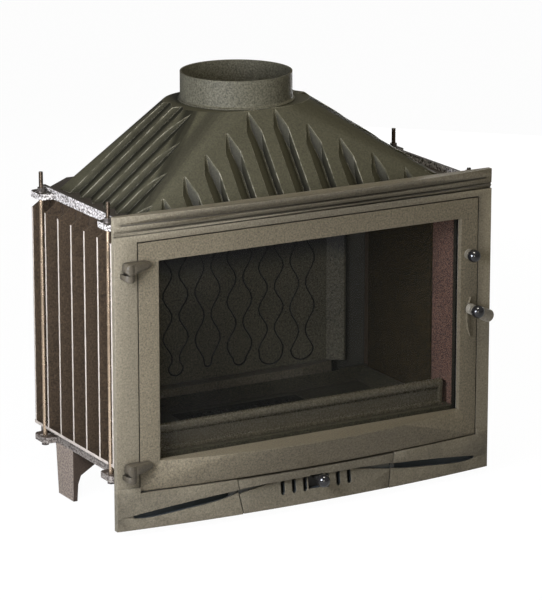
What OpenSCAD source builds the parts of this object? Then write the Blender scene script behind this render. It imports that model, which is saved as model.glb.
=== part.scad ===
// Cast iron fireplace insert: glazed door, fluted smoke hood, finned sides, tie rods and ash drawer.
// Millimetres, X to the right, Y to the back, Z up. The origin is on the floor, under the middle.

/* [Facade] */
// Width of the facade
fac_w = 700; // [680:5:740]
// Height of the facade above its own bottom edge
fac_h = 515; // [505:1:540]
// Thickness of the facade plate
fac_t = 10; // [8:0.5:12]
// How far the lower band bows forward in the middle
bow_low = 22; // [14:1:28]
// How far the top moulding bows forward in the middle
bow_top = 20; // [12:1:26]
// Height of the arched crease of the lower band, in the middle
crease_z = 46; // [42:0.5:50]
// Drop of the arched crease towards the sides
crease_drop = 25; // [18:1:28]
// How far the band under the crease leans back
band_lean = 10; // [4:0.5:11]
// Height of the air inlets
inlet_h = 12.5; // [8:0.5:13]
// Wall of the bowed bands
band_wall = 8; // [6:0.5:9]

/* [Door] */
// Facade left of the door, where the hinges are
margin_left = 40; // [34:1:50]
// Facade right of the door
margin_right = 24; // [18:1:30]
// Facade above the door
margin_top = 44; // [39:1:51]
// Bottom edge of the door aperture
ap_bottom = 60; // [58:1:64]
// Gap round the door
door_gap = 2; // [1:0.25:3]
// Thickness of the door frame
door_t = 10; // [8:0.5:11]
// Width of the left stile
stile_left = 38; // [34:1:48]
// Width of the right stile
stile_right = 34; // [32:1:44]
// Height of the lower rail, up to the sill
rail_low = 48; // [42:1:54]
// Height of the top rail
rail_top = 34; // [30:1:46]
// How far the sill stands forward in the middle
sill_bow = 40; // [30:1:44]
// Thickness of the glass
glass_t = 4; // [3:0.5:5]
// How far the glass laps behind the frame
glass_lap = 10; // [7:0.5:10]

/* [Hinges] */
// Distance of the hinge axis to the left of the door aperture
hinge_out = 20.5; // [18:0.5:21]
// Distance of the hinge axis in front of the facade
hinge_y = 11; // [10.5:0.5:13]
// Radius of the hinge pin
pin_r = 4; // [3:0.5:5]
// Running clearance between the pin and its leaf
pin_clear = 0.05; // [0.02:0.01:0.1]
// Drop of the upper leaf's lower end below the aperture's top
hinge_down = 46.5; // [30:0.5:70]
// Height of the lower leaf's lower end
hinge_lo = 95; // [88:0.5:120]
// Height of a leaf
leaf_h = 17; // [17:1:24]

/* [Latch] */
// Distance of the latch spindle from the aperture's right edge
latch_in = 17; // [16.5:0.5:19]
// Length of the latch cam
cam_len = 24; // [16:1:30]
// Height of the latch spindle
latch_z = 282; // [220:1:320]
// Radius of the latch spindle
spindle_r = 4; // [3:0.5:4.5]
// Radius of the round knobs
knob_r = 11; // [9:0.5:13]
// Height of the fixed pull knob
pull_z = 375; // [340:1:400]

/* [Body] */
// How far the body's side plates lie in from the facade's edge
body_in = 44; // [40:1:50]
// Wall of the body castings
wall = 6; // [4:0.5:8]
// Back edge of the side castings
side_back = 320; // [310:1:326]
// How far the back wall's edges lie in from the side plates
back_in = 60; // [46:1:76]
// Back face of the body
body_back = 372; // [360:1:380]
// Underside of the base casting
base_z = 74; // [72:0.5:76]
// Thickness of the base casting
base_t = 14; // [10:0.5:16]
// How far the body's top lies below the facade's top
body_down = 28; // [26:1:34]
// How far the rims of the base and the hood stand out of the body
rim_out = 18; // [14:1:20]
// Depth of the side fins
fin_d = 32; // [24:1:36]
// Thickness of a fin
fin_t = 4.5; // [3:0.5:6]
// Number of fins on a side
fin_n = 7; // [5:1:8]
// Distance between fins
fin_pitch = 46.8; // [36:0.2:47]
// Place of the first fin
fin_y = 36; // [34:0.5:40]

/* [Hood] */
// Height of the hood's rim
rim_h = 16; // [12:1:22]
// Thickness of the plate that the hood stands on
rim_plate = 6; // [4:0.5:8]
// Height of the hood above the body, up to the shelf round the flue collar
hood_h = 139; // [115:1:165]
// Inner diameter of the flue collar
flue_d = 180; // [150:1:182]
// Wall of the flue collar
flue_t = 3; // [3:0.5:5]
// Height of the flue collar
flue_h = 47; // [40:1:70]
// Middle of the flue collar, behind the facade
flue_y = 238; // [225:1:250]
// Half width of the hood's shelf
shelf_half = 125; // [110:1:130]
// How far the hood's foot lies in from the side plates
foot_in = 12; // [10:1:21]
// Front of the hood at its foot
foot_front = 37; // [36:1:50]
// Back of the hood at its foot
foot_back = 362; // [352:1:364]
// Depth of the pressed flutes
flute_d = 13; // [8:0.5:16]
// Width of the pressed flutes
flute_w = 27; // [20:1:32]
// Distance between the flutes of the front
flute_front = 50; // [46:1:56]
// Distance between the flutes of the sides
flute_side = 42; // [36:1:44]
// Depth of the flutes of the sides
side_d = 10; // [8:0.5:14]
// Place of the first flute of a side
side_y = 55; // [50:1:62]
// Number of flutes on a side
side_n = 6; // [4:1:6]

/* [Tie rods] */
// Radius of a tie rod
rod_r = 3.5; // [2.5:0.5:4]
// Distance of the rods outside the side plates
rod_out = 30; // [26:0.5:32]
// Place of the front rods
rod_front = 48; // [44:0.5:56]
// Place of the back rods
rod_back = 287; // [270:1:300]
// Thickness of the ears
ear_t = 10; // [7:0.5:12]
// How far the ears reach past the side plates
ear_len = 41; // [38:0.5:42]
// Length of an ear along the side
ear_w = 44; // [34:1:50]
// How far the three long rods reach above the body
rod_up = 43; // [26:1:50]
// How far the front right rod reaches above the body
rod_up_short = 21; // [19:0.5:30]

/* [Legs] */
// Drop of the feet below the facade's bottom edge
foot_drop = 13; // [8:0.5:20]
// Wall of the legs
leg_t = 7; // [5:0.5:9]
// Length of a side leg along the side, at its top
leg_len = 63; // [50:1:70]
// Front edge of the side legs
leg_y = 209; // [200:1:215]
// Front edge of the front legs
leg_front_y = 60; // [52:1:80]
// How far the front legs stand in from the side plates
leg_in = 44; // [26:1:76]

/* [Firebox] */
// Thickness of the fireback
back_t = 10; // [8:0.5:14]
// How far the fireback's flat panel lies in from the side plates
fireback_in = 70; // [68:1:91]
// Half width of the foot panel's flat front
foot_panel = 175; // [140:1:190]
// Slope of the fireback's foot panel
foot_step = 22; // [16:1:26]
// Distance between the wavy lines of the fireback
wave_pitch = 31; // [28:0.5:34]
// Reach of the wavy lines
wave_a = 9; // [5:0.5:10]
// Width of the wavy lines
wave_w = 3; // [2:0.25:4]
// Number of pairs of wavy lines
wave_n = 7; // [5:1:7]
// Lower edge of the fireback
fireback_z = 118; // [112:1:124]
// How far the linings' top lies below the body's top
lining_down = 47; // [40:1:60]
// Thickness of the side linings
lining_t = 6; // [4:0.5:8]
// Height of the hearth's rim above the base
hearth_h = 20; // [14:1:24]
// Thickness of the hearth's floor
hearth_t = 7; // [5:0.5:9]
// Width of the ash grate
grate_w = 240; // [200:5:260]
// Depth of the ash grate
grate_d = 150; // [120:5:170]
// Front edge of the ash grate
grate_y = 100; // [90:1:120]
// Thickness of the ash grate
grate_t = 6; // [4:0.5:7]
// Number of openings across the grate
grate_n = 11; // [7:1:15]
// Radius of the log retainer's bar
bar_r = 8.5; // [6:0.5:10]
// Height of the log retainer's bar
bar_z = 151; // [140:1:160]
// Place of the log retainer
bar_y = 52; // [50:1:60]

/* [Ash drawer] */
// Half width of the drawer front at its top edge
dr_half = 149; // [136:1:150]
// How far the drawer's middle lies to the right of the facade's middle
dr_x = 7; // [0:0.5:8]
// How much narrower each side is at the bottom edge
dr_taper = 11; // [4:0.5:12]
// Gap round the drawer front
dr_gap = 1.5; // [1:0.25:2.5]
// Half width of the ash pan
pan_half = 122; // [105:1:124]
// Depth of the ash pan
pan_d = 240; // [200:5:245]
// Height of the ash pan
pan_h = 44; // [34:1:48]
// Sheet of the ash pan and its housing
sheet = 2; // [1.5:0.25:2.5]
// Half width of the air slide
slide_half = 84; // [74:1:86]
// Number of air slots on each side of the knob
slot_n = 3; // [2:1:4]
// Distance between air slots
slot_pitch = 20.5; // [19:0.5:22]
// Width of an air slot
slot_w = 8.5; // [6:0.5:9]
// Radius of the air knob
air_r = 11; // [8:0.5:11]

/* [Hidden] */
e = 0.01;
seat = 0.3;
air_out = 39;
air_z = crease_z - 6;
knob_front = air_out + air_r;
y_mid = (body_back + rim_out - knob_front) / 2;
base_top = base_z + base_t;
body_top = fac_h - body_down;
lining_top = body_top - lining_down;
hood_top = body_top + hood_h;
rod_top = body_top + rod_up;
rod_top_short = body_top + rod_up_short;
rim_z = body_top + rim_h;
ap_left = fac_w / 2 - margin_left;
ap_right = fac_w / 2 - margin_right;
ap_top = fac_h - margin_top;
open_left = ap_left - stile_left;
open_right = ap_right - stile_right;
open_bottom = ap_bottom + rail_low;
open_top = ap_top - rail_top;
hinge_x = ap_left + hinge_out;
latch_x = ap_right - latch_in;
body_half = fac_w / 2 - body_in;
back_half = body_half - back_in;
foot_half = body_half - foot_in;
rod_x = body_half + rod_out;
ear_out = body_half + ear_len;
leg_front_x = body_half - leg_in;
fireback_half = body_half - fireback_in;
frame_y = fac_t + 12;
frame_t = 8;
side_front = frame_y + frame_t;
lip_y = fac_t + 6;
lip_w = 14;
lip_in_left = ap_left - lip_w;
lip_in_right = ap_right - 10;
lip_in_bottom = ap_bottom + 18;
lip_in_top = ap_top - lip_w;
rim_half = body_half + rim_out;
door_left = ap_left - door_gap;
door_right = ap_right - door_gap;
door_bottom = ap_bottom + door_gap;
door_top = ap_top - door_gap;
door_mid = (door_right - door_left) / 2;
door_half = (door_right + door_left) / 2;
open_mid = (open_right - open_left) / 2;
open_half = (open_right + open_left) / 2;
glass_y = door_t + 2;
flue_r = flue_d / 2;
pan_z = seat;
house_half = pan_half + 2;
slide_low = 13;
slide_high = ap_bottom - 6;
hinge_hi = ap_top - hinge_down;
shelf_r = flue_r + flue_t + 3;

function arc_r(half, rise) = (half * half + rise * rise) / (2 * rise);
function bow_y(x, half, rise) = arc_r(half, rise) - rise - sqrt(pow(arc_r(half, rise), 2) - x * x);

// Everything is drawn from the facade's bottom edge and front plane, then set on the floor.
module set_down() translate([0, -y_mid, foot_drop]) children();

module box(x0, x1, y0, y1, z0, z1) translate([x0, y0, z0]) cube([x1 - x0, y1 - y0, z1 - z0]);

// An upright slab whose front is an arc through both ends, and whose back is flat.
module bowed(mid, half, rise, back, z0, z1, fn = 720)
    intersection() {
        translate([mid, arc_r(half, rise) - rise, z0]) cylinder(r = arc_r(half, rise), h = z1 - z0, $fn = fn);
        box(mid - half, mid + half, -rise - 1, back, z0 - 1, z1 + 1);
    }

// Everything under an arch that runs across the front.
module under_arch(top, half, drop, y0, y1)
    translate([0, y1, top - arc_r(half, drop)]) rotate([90, 0, 0])
        cylinder(r = arc_r(half, drop), h = y1 - y0, $fn = 720);

// Outline of the body, straight at the sides and drawn in at the back corners.
module plan(grow = 0, front = side_front)
    polygon([[-body_half - grow, front], [-body_half - grow, side_back + grow * 0.41],
        [-back_half - grow * 0.41, body_back + grow], [back_half + grow * 0.41, body_back + grow],
        [body_half + grow, side_back + grow * 0.41], [body_half + grow, front]]);

module slab(z0, z1) translate([0, 0, z0]) linear_extrude(z1 - z0) children();

// The four ears through which the tie rods pass.
module ears(z0, from)
    for (s = [-1, 1]) for (y = [rod_front, rod_back])
        translate([0, 0, z0]) linear_extrude(ear_t)
            polygon([[s * from, y - ear_w / 2], [s * (ear_out - 5), y - ear_w / 2 + 2],
                [s * ear_out, y - ear_w / 2 + 7], [s * ear_out, y + ear_w / 2 - 7],
                [s * (ear_out - 5), y + ear_w / 2 - 2], [s * from, y + ear_w / 2]]);

module ear_slots(z0)
    for (s = [-1, 1]) for (y = [rod_front, rod_back])
        translate([s * rod_x, y, z0 - 1]) linear_extrude(ear_t + 2) union() {
            square([2 * rod_r + 5, 2 * rod_r + 2], center = true);
            translate([rod_r + 2.5, 0]) circle(r = rod_r + 1, $fn = 32);
            translate([-rod_r - 2.5, 0]) circle(r = rod_r + 1, $fn = 32);
        }

module base_casting() color("#6f675e") set_down() difference() {
    union() {
        slab(base_z, base_top) plan(rim_out);
        ears(base_z, rim_half - 1);
    }
    ear_slots(base_z);
    box(-grate_w / 2 + 8, grate_w / 2 - 8, grate_y + 8, grate_y + grate_d - 8, base_z - 1, base_top + 1);
    slab(base_z - 1, base_z + base_t - 7) difference() {
        offset_plan(-4);
        square([2 * house_half + 24, 2 * (grate_y + grate_d + 60)], center = true);
        for (s = [-1, 1]) {
            translate([s * (body_half + rim_out), leg_y + leg_len / 2]) square([130, leg_len + 12], center = true);
            translate([s * leg_front_x, leg_front_y + leg_t]) square([90, 80], center = true);
        }
    }
}

module offset_plan(g) plan(g, side_front + 8);

// A side leg: an L of a tapering outer plate and a web whose edge sweeps in to the foot.
module side_leg() {
    box(-rim_half, -rim_half + leg_t, leg_y, leg_y + leg_len, base_z - 6, base_z);
    rotate([90, 0, 90]) translate([0, 0, -rim_half]) linear_extrude(leg_t)
        polygon([[leg_y, base_z], [leg_y + leg_len, base_z], [leg_y + leg_len * 0.87, -foot_drop],
            [leg_y, -foot_drop]]);
    translate([0, leg_y + leg_t, 0]) rotate([90, 0, 0]) linear_extrude(leg_t) difference() {
        polygon([[-rim_half, base_z], [-rim_half + 72, base_z], [-rim_half + 72, base_z - 10],
            [-rim_half + 42, base_z - 27], [-rim_half + 14, base_z - 44], [-rim_half + 9, base_z - 58],
            [-rim_half + leg_t, -foot_drop], [-rim_half, -foot_drop]]);
    }
}

module front_leg() {
    box(-leg_front_x, -leg_front_x + leg_t, leg_front_y, leg_front_y + 42, base_z - 6, base_z);
    rotate([90, 0, 90]) translate([0, 0, -leg_front_x]) linear_extrude(leg_t)
        polygon([[leg_front_y, base_z], [leg_front_y + 42, base_z], [leg_front_y + 34, -foot_drop],
            [leg_front_y, -foot_drop]]);
    translate([0, leg_front_y + leg_t, 0]) rotate([90, 0, 0]) linear_extrude(leg_t)
        polygon([[-leg_front_x, base_z], [-leg_front_x + 44, base_z], [-leg_front_x + 34, base_z - 24],
            [-leg_front_x + 14, base_z - 50], [-leg_front_x + leg_t + 3, -foot_drop],
            [-leg_front_x, -foot_drop]]);
}

module leg_left() color("#8d847b") set_down() side_leg();
module leg_right() color("#8d847b") set_down() mirror([1, 0, 0]) side_leg();
module leg_front_left() color("#8d847b") set_down() front_leg();
module leg_front_right() color("#8d847b") set_down() mirror([1, 0, 0]) front_leg();

// A side casting: a flat plate with upright fins, a lip that sits on the base and a drawn-in top.
module side_casting() {
    box(-body_half, -body_half + wall, side_front, side_back, base_top, body_top);
    box(-rim_half + 4, -body_half + e, side_front, side_back, base_top, base_top + 8);
    difference() {
        box(-body_half - fin_d, -body_half + e, side_front, side_back + 2, base_top + 8, base_top + 13);
        for (y = [rod_front, rod_back]) translate([-rod_x, y, base_top]) cylinder(r = rod_r + 2, h = 20, $fn = 48);
    }
    for (k = [0 : fin_n - 1]) translate([0, fin_y + k * fin_pitch + fin_t / 2, 0]) rotate([90, 0, 0])
        linear_extrude(fin_t)
            polygon([[-body_half + e, base_top + 12], [-body_half - fin_d, base_top + 12],
                [-body_half - fin_d, body_top - 22], [-body_half - fin_d + 12, body_top - 14],
                [-body_half - 9, body_top - 3], [-body_half + e, body_top - 2]]);
    box(-body_half - 9, -body_half + e, side_front, side_back, body_top - 5, body_top);
}

module side_left() color("#4a3a32") set_down() side_casting();
module side_right() color("#4a3a32") set_down() mirror([1, 0, 0]) side_casting();

// The back wall turns in at both corners and carries upright ribs outside.
module back_wall() color("#4a4038") set_down() {
    slab(base_top, body_top) difference() {
        plan(0, side_back);
        polygon([[-body_half + wall, side_back - 1], [-body_half + wall, side_back - wall * 0.1],
            [-back_half + wall * 0.41, body_back - wall], [back_half - wall * 0.41, body_back - wall],
            [body_half - wall, side_back - wall * 0.1], [body_half - wall, side_back - 1]]);
    }
    for (k = [-3 : 3]) box(k * 66 - 2.5, k * 66 + 2.5, body_back - e, body_back + 12, base_top, body_top);
}

// Places of the bolts that hold the facade to the front frame.
bolt_at = [for (x = [-open_left * 0.88, 0, open_left * 0.88]) [x, (lip_in_top + ap_top + 5) / 2],
    for (s = [-1, 1]) [s * open_left * 0.88, (ap_bottom - 6 + lip_in_bottom) / 2]];

// The inner frame behind the facade, which the side plates, hood and base close on.
module front_frame() color("#4c4640") set_down() difference() {
    box(-body_half, body_half, frame_y, side_front, ap_bottom - 4, body_top);
    box(-lip_in_left, lip_in_left, frame_y - 1, side_front + 1, base_top + 10, lip_in_top - 4);
    for (p = bolt_at) translate([p[0], side_front + 1, p[1]]) rotate([90, 0, 0])
        cylinder(r = 4.2, h = frame_t + 2, $fn = 48);
}

// Outline of the hood's foot, with drawn-in back corners.
module foot_plan(g, r = 20)
    polygon(concat(
        [for (a = [0 : 15 : 90]) [-foot_half - g + r - r * sin(90 - a), foot_front - g + r - r * sin(a)]],
        [for (a = [0 : 15 : 90]) [foot_half + g - r + r * sin(a), foot_front - g + r - r * cos(a)]],
        [[foot_half + g, foot_back - 58], [foot_half - 58, foot_back + g], [-foot_half + 58, foot_back + g],
            [-foot_half - g, foot_back - 58]]));

// Outline of the shelf round the collar: two half circles and a straight between them.
module shelf_plan(g) hull() for (s = [-1, 1])
    translate([s * (shelf_half - shelf_r), flue_y]) circle(r = shelf_r + g, $fn = 64);

// One flute: a slanted V that grows from a point on the face until it meets a V of even depth.
module flute(run, tip, grow = 0) {
    w = flute_w / 2 + grow * 1.4;
    d = flute_d + grow;
    k = d / 42;
    intersection() {
        rotate([90, 0, 0]) linear_extrude(run + 60)
            polygon([[-w, 0], [w * 0.55, -d], [w * 0.8, -d], [w, 0], [w, 30], [-w, 30]]);
        translate([0, -tip + grow * 1.5, 0]) rotate([90 + atan(k), 0, 0]) linear_extrude(run + 80)
            polygon([[-w * 6, d * 5], [-w * 0.1, -0.3], [w * 0.1, -0.3], [w * 6, d * 5]]);
    }
}

// Flutes of the front. Each runs down the face from a tip on the corner's rounding.
module front_flutes(grow = 0) {
    out = flue_y - shelf_r - foot_front;
    rise = hood_h - rim_plate;
    len = norm([out, rise]);
    translate([0, flue_y - shelf_r, hood_top]) rotate([atan2(rise, out), 0, 0])
        for (k = [-4.5 : 1 : 4.5]) translate([k * flute_front - flute_w * 0.3, 0, 0])
            flute(len, len * (0.02 + 0.9 * max(0, abs(k) * flute_front - 25) / (foot_half - 62)), grow);
}

// Flutes of a side. They run straight up, side by side, and come out of the corner's rounding.
module side_flutes(grow = 0) {
    out = foot_half - shelf_half;
    rise = hood_h - rim_plate;
    w = flute_side - 1;
    d = side_d + grow;
    translate([-shelf_half, 0, hood_top]) rotate([0, 0, -90]) rotate([atan2(rise, out), 0, 0])
        for (k = [0 : side_n - 1]) translate([-side_y - k * flute_side, 30, 0]) rotate([90, 0, 0])
            linear_extrude(norm([out, rise]) + 60) polygon([[-6 - grow, 12], [-0.4 - grow * 0.7, -d],
                [0.4 + grow * 0.4, -d], [w - 4 + grow, 0.3], [w + 4 + grow, 12]]);
}

module hood_flutes(grow = 0) {
    front_flutes(grow);
    side_flutes(grow);
    mirror([1, 0, 0]) side_flutes(grow);
}

module hood_mass(g, z_low, z_high) hull() {
    translate([0, 0, z_low]) linear_extrude(0.5) foot_plan(g);
    translate([0, 0, z_high - 0.5]) linear_extrude(0.5) shelf_plan(g);
}

// The hood: a thin shell from a rectangle to a round shelf, with the flutes pressed into it.
module hood() color("#55543f") set_down() difference() {
    foot = body_top + rim_plate;
    union() {
        difference() {
            hood_mass(0, foot, hood_top);
            hood_mass(-wall, foot - 1, hood_top - wall);
        }
        intersection() {
            hood_mass(-1, foot, hood_top - 1);
            hood_flutes(wall * 0.8);
        }
    }
    hood_flutes(0);
    translate([0, flue_y, hood_top - 40]) cylinder(r = flue_r + 1.5, h = 60, $fn = 180);
}

// The top plate closes the body. It has a rim along its sides and the ears of the tie rods.
module top_plate() color("#8d8880") set_down() difference() {
    union() {
        slab(body_top, body_top + rim_plate) plate_plan();
        slab(body_top, rim_z) difference() {
            plate_plan();
            plan(rim_out - 6, frame_y + 8);
            translate([-fac_w / 2, rod_back + ear_w / 2]) square([fac_w, fac_w]);
        }
        ears(body_top, rim_half - 1);
    }
    slab(body_top - 1, body_top + rim_plate + 1) foot_plan(-wall - flute_d - 2);
    ear_slots(body_top);
}

// Outline of the top plate: flush with the body at the back, and wider at the sides.
module plate_plan() polygon([[-rim_half, frame_y + 2], [-rim_half, side_back - rim_out * 0.87 + 2],
    [-back_half - 1, body_back + 2], [back_half + 1, body_back + 2],
    [rim_half, side_back - rim_out * 0.87 + 2], [rim_half, frame_y + 2]]);

// The flue collar: a plain round collar that flares into a foot on the shelf.
module flue_collar() color("#6a6557") set_down() translate([0, flue_y, hood_top])
    rotate_extrude($fn = 180) polygon(concat([[flue_r, 0], [flue_r, flue_h], [flue_r + flue_t, flue_h]],
        [for (a = [0 : 15 : 90]) [flue_r + flue_t + 4 - 4 * cos(a), 6 - 4 * sin(a)]],
        [[flue_r + flue_t + 4, 0]]));

module tie_rods() color("#4b443d") set_down()
    for (s = [-1, 1]) for (y = [rod_front, rod_back])
        translate([s * rod_x, y, base_z - 8])
            cylinder(r = rod_r, h = (s > 0 && y == rod_front ? rod_top_short : rod_top) - base_z + 8, $fn = 32);

module at_rods() for (s = [-1, 1]) for (y = [rod_front, rod_back]) translate([s * rod_x, y, 0]) children();

module hex_nut(z) translate([0, 0, z]) difference() {
    cylinder(r = rod_r * 1.9, h = rod_r * 1.6, $fn = 6);
    translate([0, 0, -1]) cylinder(r = rod_r + 0.05, h = rod_r * 2 + 2, $fn = 32);
}

module tie_rod_nuts() color("#3d3934") set_down() at_rods() {
    hex_nut(base_z - 1.5 - rod_r * 1.6);
    hex_nut(body_top + ear_t + 1.5);
}

module tie_rod_washers() color("#4a453f") set_down() at_rods()
    for (z = [base_z - 1.5, body_top + ear_t]) translate([0, 0, z]) difference() {
        cylinder(r = rod_r + 4.5, h = 1.5, $fn = 48);
        translate([0, 0, -1]) cylinder(r = rod_r + 0.1, h = 4, $fn = 32);
    }

// The facade: a flat frame, a bowed lower band with air inlets, and a bowed top moulding.
module facade() color("#8f8778") set_down() difference() {
    union() {
        box(-fac_w / 2, fac_w / 2, 0, fac_t, 0, fac_h - 33);
        difference() {
            bowed(0, fac_w / 2, bow_low, 1, 0, ap_bottom + 10);
            under_arch(crease_z, fac_w / 2 - 5, crease_drop, -bow_low - 3, 2);
        }
        leaning_band();
        top_moulding();
        difference() {
            box(-ap_right - 5, ap_right + 5, fac_t - e, frame_y, ap_bottom - 6, ap_top + 5);
            box(-lip_in_left, lip_in_right, 0, frame_y + 1, lip_in_bottom, lip_in_top);
        }
    }
    box(-ap_left, ap_right, -bow_low - 2, lip_y, ap_bottom, ap_top);
    translate([0, band_wall - 2.4, 0])
        bowed(0, fac_w / 2 - 20, bow_low - 4.4, 0, -1, ap_bottom - band_wall);
    for (m = [0, 1]) mirror([m, 0, 0]) {
        inlet_way(-fac_w / 2 + 28, -joint_x(m) - 12 + 8 * m, band_wall - 2.4);
        intersection() {
            inlet_way(-fac_w / 2 + 10, -joint_x(m) + 12, 0);
            inlet_floor();
        }
    }
    drawer_gap();
    for (p = bolt_at) translate([p[0], frame_y + 1, p[1]]) rotate([90, 0, 0])
        cylinder(r = 4.05, h = 5.5, $fn = 48);
    box(dr_x - dr_half - 6, dr_x + dr_half + 6, fac_t - 4, frame_y + 1, -1, ap_bottom - 6.5);
}

module top_moulding() {
    z = [0, 6, 9.5, 17, 20.5, 33];
    b = [0, 0.30, 0.30, 0.64, 0.64, 1];
    c = [0.30, 0.22, 0.62, 0.54, 0.90, 1];
    for (k = [0 : 4]) hull() {
        bowed(0, fac_w / 2, max(0.5, bow_top * (k % 2 == 0 ? b[k] : c[k - 1] - 0.2)), fac_t,
            fac_h - 33 + z[k], fac_h - 33 + z[k] + 0.2, 240);
        bowed(0, fac_w / 2, max(0.5, bow_top * (k % 2 == 0 ? c[k] + 0.0 : b[k + 1] - 0.2)), fac_t,
            fac_h - 33 + z[k + 1] - 0.2, fac_h - 33 + z[k + 1], 240);
    }
}

// Under the arched crease the band lies deeper, and leans forward to its bottom edge.
module leaning_band() hull() {
    bowed(0, fac_w / 2 - 0.5, bow_low, 1, 0, 0.1, 480);
    bowed(0, fac_w / 2 - 0.5, bow_low - band_lean, 1, ap_bottom - 0.1, ap_bottom, 480);
}

// Height of the crease and of the inlet's opening, along the band.
function crease(x) = crease_z - arc_r(fac_w / 2 - 5, crease_drop)
    + sqrt(pow(arc_r(fac_w / 2 - 5, crease_drop), 2) - x * x);
function gape(x) = inlet_h * (1 - pow(min(1, abs(x + fac_w / 2 - 122) / 106), 4));

// A long air inlet that hangs from the crease, blunt inside and pointed outside.
module inlet_way(x0, x1, y1) intersection() {
    under_arch(crease_z, fac_w / 2 - 5, crease_drop, -bow_low - 4, y1 + 1);
    rotate([90, 0, 0]) translate([0, 0, -y1]) linear_extrude(bow_low + 3 + y1)
        polygon(concat([[x0, crease_z], [x1, crease_z]],
            [for (k = [16 : -1 : 0]) let (x = x0 + (x1 - x0) * k / 16) [x, crease(x) - gape(x) - 0.1]]));
}

// The shallow floor that leads into the inlet at both ends.
module inlet_floor() difference() {
    box(-fac_w / 2, fac_w / 2, -bow_low - 3, 1, 0, ap_bottom);
    bowed(0, fac_w / 2 + 4, bow_low - band_lean, 2, -1, ap_bottom + 1);
}

// Distance of the drawer's left and right joint from the middle of the facade.
function joint_x(m) = dr_half - dr_x + 2 * dr_x * m;

module drawer_outline(g) translate([dr_x, 0, 0]) rotate([90, 0, 0]) linear_extrude(200, center = true)
    polygon([[-dr_half + dr_taper - g, -1 - g], [dr_half - dr_taper + g, -1 - g],
        [dr_half + g, ap_bottom + 1], [-dr_half - g, ap_bottom + 1]]);

module drawer_gap() intersection() {
    drawer_outline(0);
    box(dr_x - dr_half - 8, dr_x + dr_half + 8, -bow_low - 5, fac_t + 1, -2, ap_bottom + 1);
}

module facade_bolts() color("#3d3934") set_down()
    for (p = bolt_at) translate([p[0], frame_y - 4, p[1]]) rotate([-90, 0, 0]) {
        cylinder(r = 4, h = frame_t + 11, $fn = 32);
        translate([0, 0, frame_t + 4]) cylinder(r = 7, h = 5, $fn = 6);
    }

// Two lugs on the facade, each with an upright pin that the door is lifted on to.
module hinge_brackets() color("#8f8778") set_down() for (z = [hinge_lo, hinge_hi])
    translate([-hinge_x, -hinge_y, z]) {
        intersection() {
            union() {
                translate([0, 0, -12.5]) cylinder(r = 9.5, h = 12, $fn = 64);
                translate([-9.5, 0, -12.5]) cube([17.5, hinge_y, 12]);
            }
            translate([0, hinge_y + 1, 0]) rotate([90, 0, 0]) cylinder(r = 12.5, h = hinge_y + 12, $fn = 64);
        }
        translate([0, 0, -1]) cylinder(r = pin_r, h = 15, $fn = 48);
    }

// A wavy line down the fireback, as a strip of even width. a is its reach, n its number of waves.
function wave(x, a, n, p, t) = x + a * sin(360 * n * t + p);
module wave_strip(x, a, n, p, z0, z1, w = 4) {
    m = 28;
    polygon(concat([for (k = [0 : m]) [wave(x, a, n, p, k / m) - w / 2, z0 + (z1 - z0) * k / m]],
        [for (k = [m : -1 : 0]) [wave(x, a, n, p, k / m) + w / 2, z0 + (z1 - z0) * k / m]]));
}

back_y = body_back - wall - 26;

module fireback() color("#43403a") set_down() difference() {
    union() {
        box(-fireback_half, fireback_half, back_y, back_y + back_t, fireback_z, lining_top);
        for (s = [-1, 1]) hull() {
            translate([s * fireback_half, back_y + back_t / 2, fireback_z])
                cylinder(r = back_t / 2, h = lining_top - fireback_z, $fn = 24);
            translate([s * (fireback_half + 26), back_y - 10, fireback_z])
                cylinder(r = back_t / 2, h = lining_top - fireback_z, $fn = 24);
        }
    }
    translate([0, back_y + 3, 0]) rotate([90, 0, 0]) linear_extrude(10) for (k = [0 : wave_n - 1])
        wave_pair((k - (wave_n - 1) / 2) * 2 * wave_pitch, 3.4 + 0.25 * (k % 3), 40 + k * 75);
}

// Two wavy lines that face each other and meet in a round bottom.
module wave_pair(x, n, p) {
    z0 = fireback_z + 28;
    low = wave_pitch / 2 + wave_a * sin(p);
    for (s = [-1, 1]) translate([x, 0])
        wave_strip(s * wave_pitch / 2, s * wave_a, n, p, z0, lining_top - 6, wave_w);
    translate([x, z0]) difference() {
        scale([1, min(1, 20 / low)]) circle(r = low + wave_w / 2, $fn = 32);
        scale([1, min(1, 20 / low)]) circle(r = low - wave_w / 2, $fn = 32);
        translate([-60, 0]) square([120, 60]);
    }
}

module fireback_foot() color("#4a453f") set_down() slab(base_top + hearth_t, fireback_z - seat)
    polygon([[-fireback_half - 6, back_y + back_t - 4], [-fireback_half - 6, back_y - 6], [-foot_panel, back_y - foot_step],
        [foot_panel, back_y - foot_step], [fireback_half + 6, back_y - 6], [fireback_half + 6, back_y + back_t - 4]]);

module lining() {
    box(-body_half + wall + seat, -body_half + wall + lining_t, side_front + 66, side_back - 22,
        base_top + hearth_h + seat, lining_top);
    box(-body_half + wall + seat, -body_half + wall + 3, side_front + 2, side_front + 66 + e,
        base_top + hearth_h + seat, lining_top);
}

module lining_left() color("#5b3c36") set_down() lining();
module lining_right() color("#5b3c36") set_down() mirror([1, 0, 0]) lining();

// The baffle lies on the linings and the fireback, and leaves the way up open at the front.
module baffle() color("#3f3b36") set_down() slab(lining_top, lining_top + 8) intersection() {
    plan(-wall - 1, side_front + 95);
    translate([-fac_w / 2, 0]) square([fac_w, back_y + back_t - 2]);
}

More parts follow.
